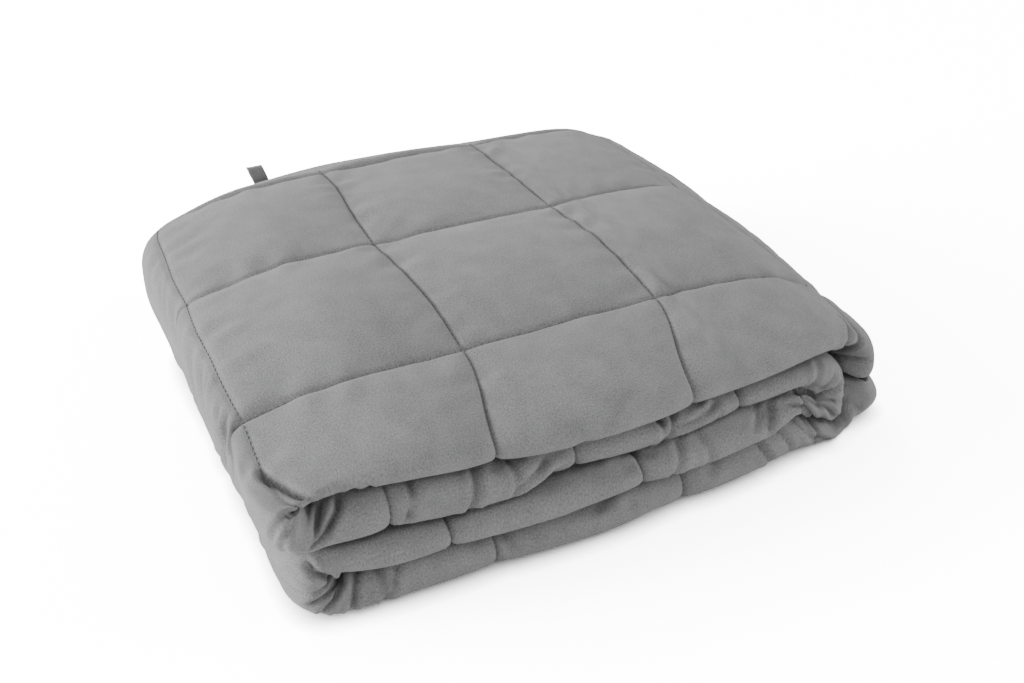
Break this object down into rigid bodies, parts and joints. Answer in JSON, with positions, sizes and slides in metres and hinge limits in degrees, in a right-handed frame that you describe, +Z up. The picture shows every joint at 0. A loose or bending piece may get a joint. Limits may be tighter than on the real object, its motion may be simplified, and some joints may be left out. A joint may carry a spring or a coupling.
{
  "type": "folded weighted blanket",
  "caption": "Quilted weighted blanket folded into a thick rectangular bundle, with rounded folds at the front and sides and a small ribbon loop at its back hem.",
  "frame": {"origin": "on the surface the bundle lies on, under the middle of its bounding box", "axes": "+X along the front fold to the right, +Y from the front folds to the back hems, +Z up"},
  "size_m": [0.4324, 0.3931, 0.1264],
  "materials": {
    "cloth": "matte brushed microfibre",
    "ribbon": "matte woven ribbon"
  },
  "bodies": {
    "root": {"blanket": "cloth", "hang_loop": "ribbon"}
  },
  "joints": []
}
